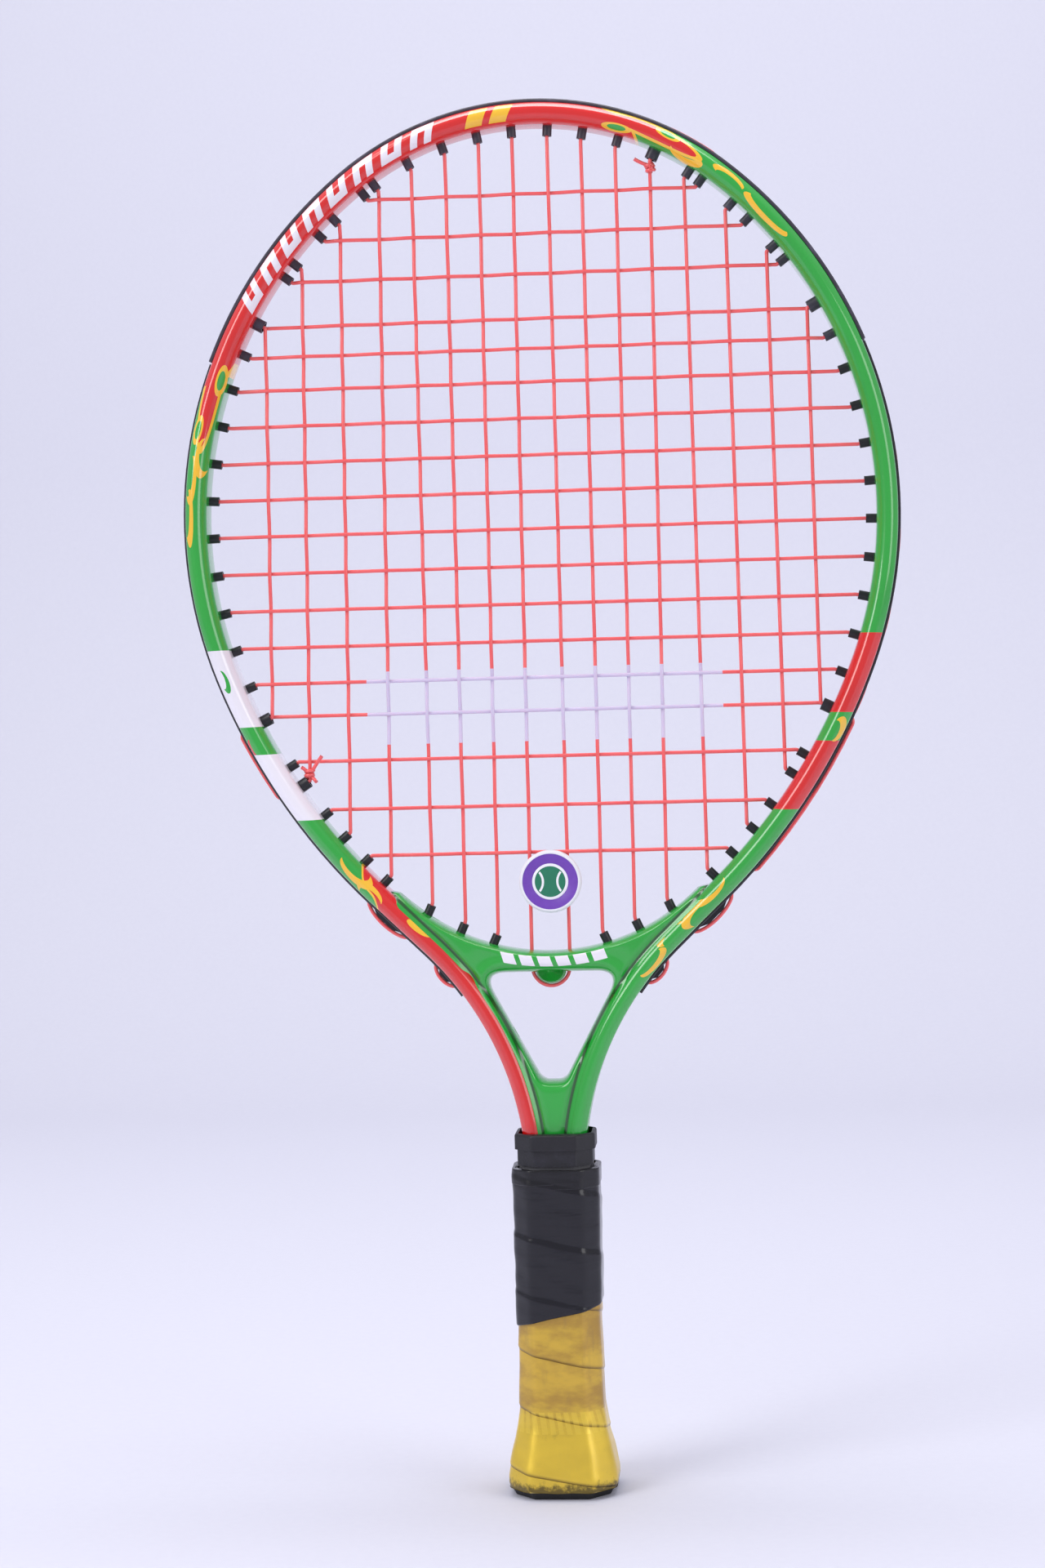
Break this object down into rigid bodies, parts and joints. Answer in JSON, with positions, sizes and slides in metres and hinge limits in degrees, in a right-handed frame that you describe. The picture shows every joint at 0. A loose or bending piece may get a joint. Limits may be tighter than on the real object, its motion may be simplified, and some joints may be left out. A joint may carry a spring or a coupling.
{
  "type": "tennis racket",
  "caption": "Short junior tennis racket: bent tube frame with a moulded throat yoke, strung head, wrapped flared handle, slip-on collar and a disc vibration dampener.",
  "frame": {"origin": "centre of the butt end's flat face", "axes": "+Z from the butt end to the tip, +X across the head to the right seen from the front, +Y through the string bed away from the front face"},
  "size_m": [0.2488, 0.0352, 0.4826],
  "materials": {
    "painted_tube": "gloss painted, in blocks of green, red, white and yellow over bent aluminium tube",
    "yoke_plastic": "gloss green moulding",
    "bumper_plastic": "satin dark grey moulding",
    "grommet_plastic": "satin black moulding",
    "string": "smooth coral-red nylon string",
    "pallet_plastic": "structural foam",
    "rivet_metal": "plain",
    "butt_plastic": "satin black moulding",
    "staple_steel": "plain wire",
    "end_badge": "gloss disc",
    "gold_grip": "gold metallic synthetic wrap",
    "black_sleeve": "glossy black film",
    "black_tape": "glossy black tape",
    "collar_rubber": "satin black rubber",
    "dampener_rubber": "soft white rubber with a purple ring",
    "dampener_badge": "gloss printed disc"
  },
  "bodies": {
    "racket": {"frame_tube": "painted_tube", "throat_yoke": "yoke_plastic", "bumper_guard": "bumper_plastic", "left_grommet_strip": "grommet_plastic", "right_grommet_strip": "grommet_plastic", "throat_grommets": "grommet_plastic", "main_strings": "string", "cross_strings": "string", "main_string_turns": "string", "cross_string_turns": "string", "tie_off_knots": "string", "handle_pallet_front": "pallet_plastic", "handle_pallet_back": "pallet_plastic", "handle_rivets": "rivet_metal", "butt_cap": "butt_plastic", "butt_cap_staples": "staple_steel", "butt_end_badge": "end_badge", "base_grip": "gold_grip", "grip_sleeve": "black_sleeve", "finishing_tape": "black_tape"},
    "collar": {"grip_collar": "collar_rubber"},
    "dampener": {"dampener_body": "dampener_rubber", "dampener_badge": "dampener_badge"}
  },
  "joints": [
    {"name": "collar_slide", "type": "slide", "parent": "racket", "child": "collar", "axis": [0, 0, 1], "range_m": [0, 0.004]},
    {"name": "dampener_slide", "type": "slide", "parent": "racket", "child": "dampener", "axis": [0, 0, 1], "range_m": [-0.01, 0.0015]}
  ]
}
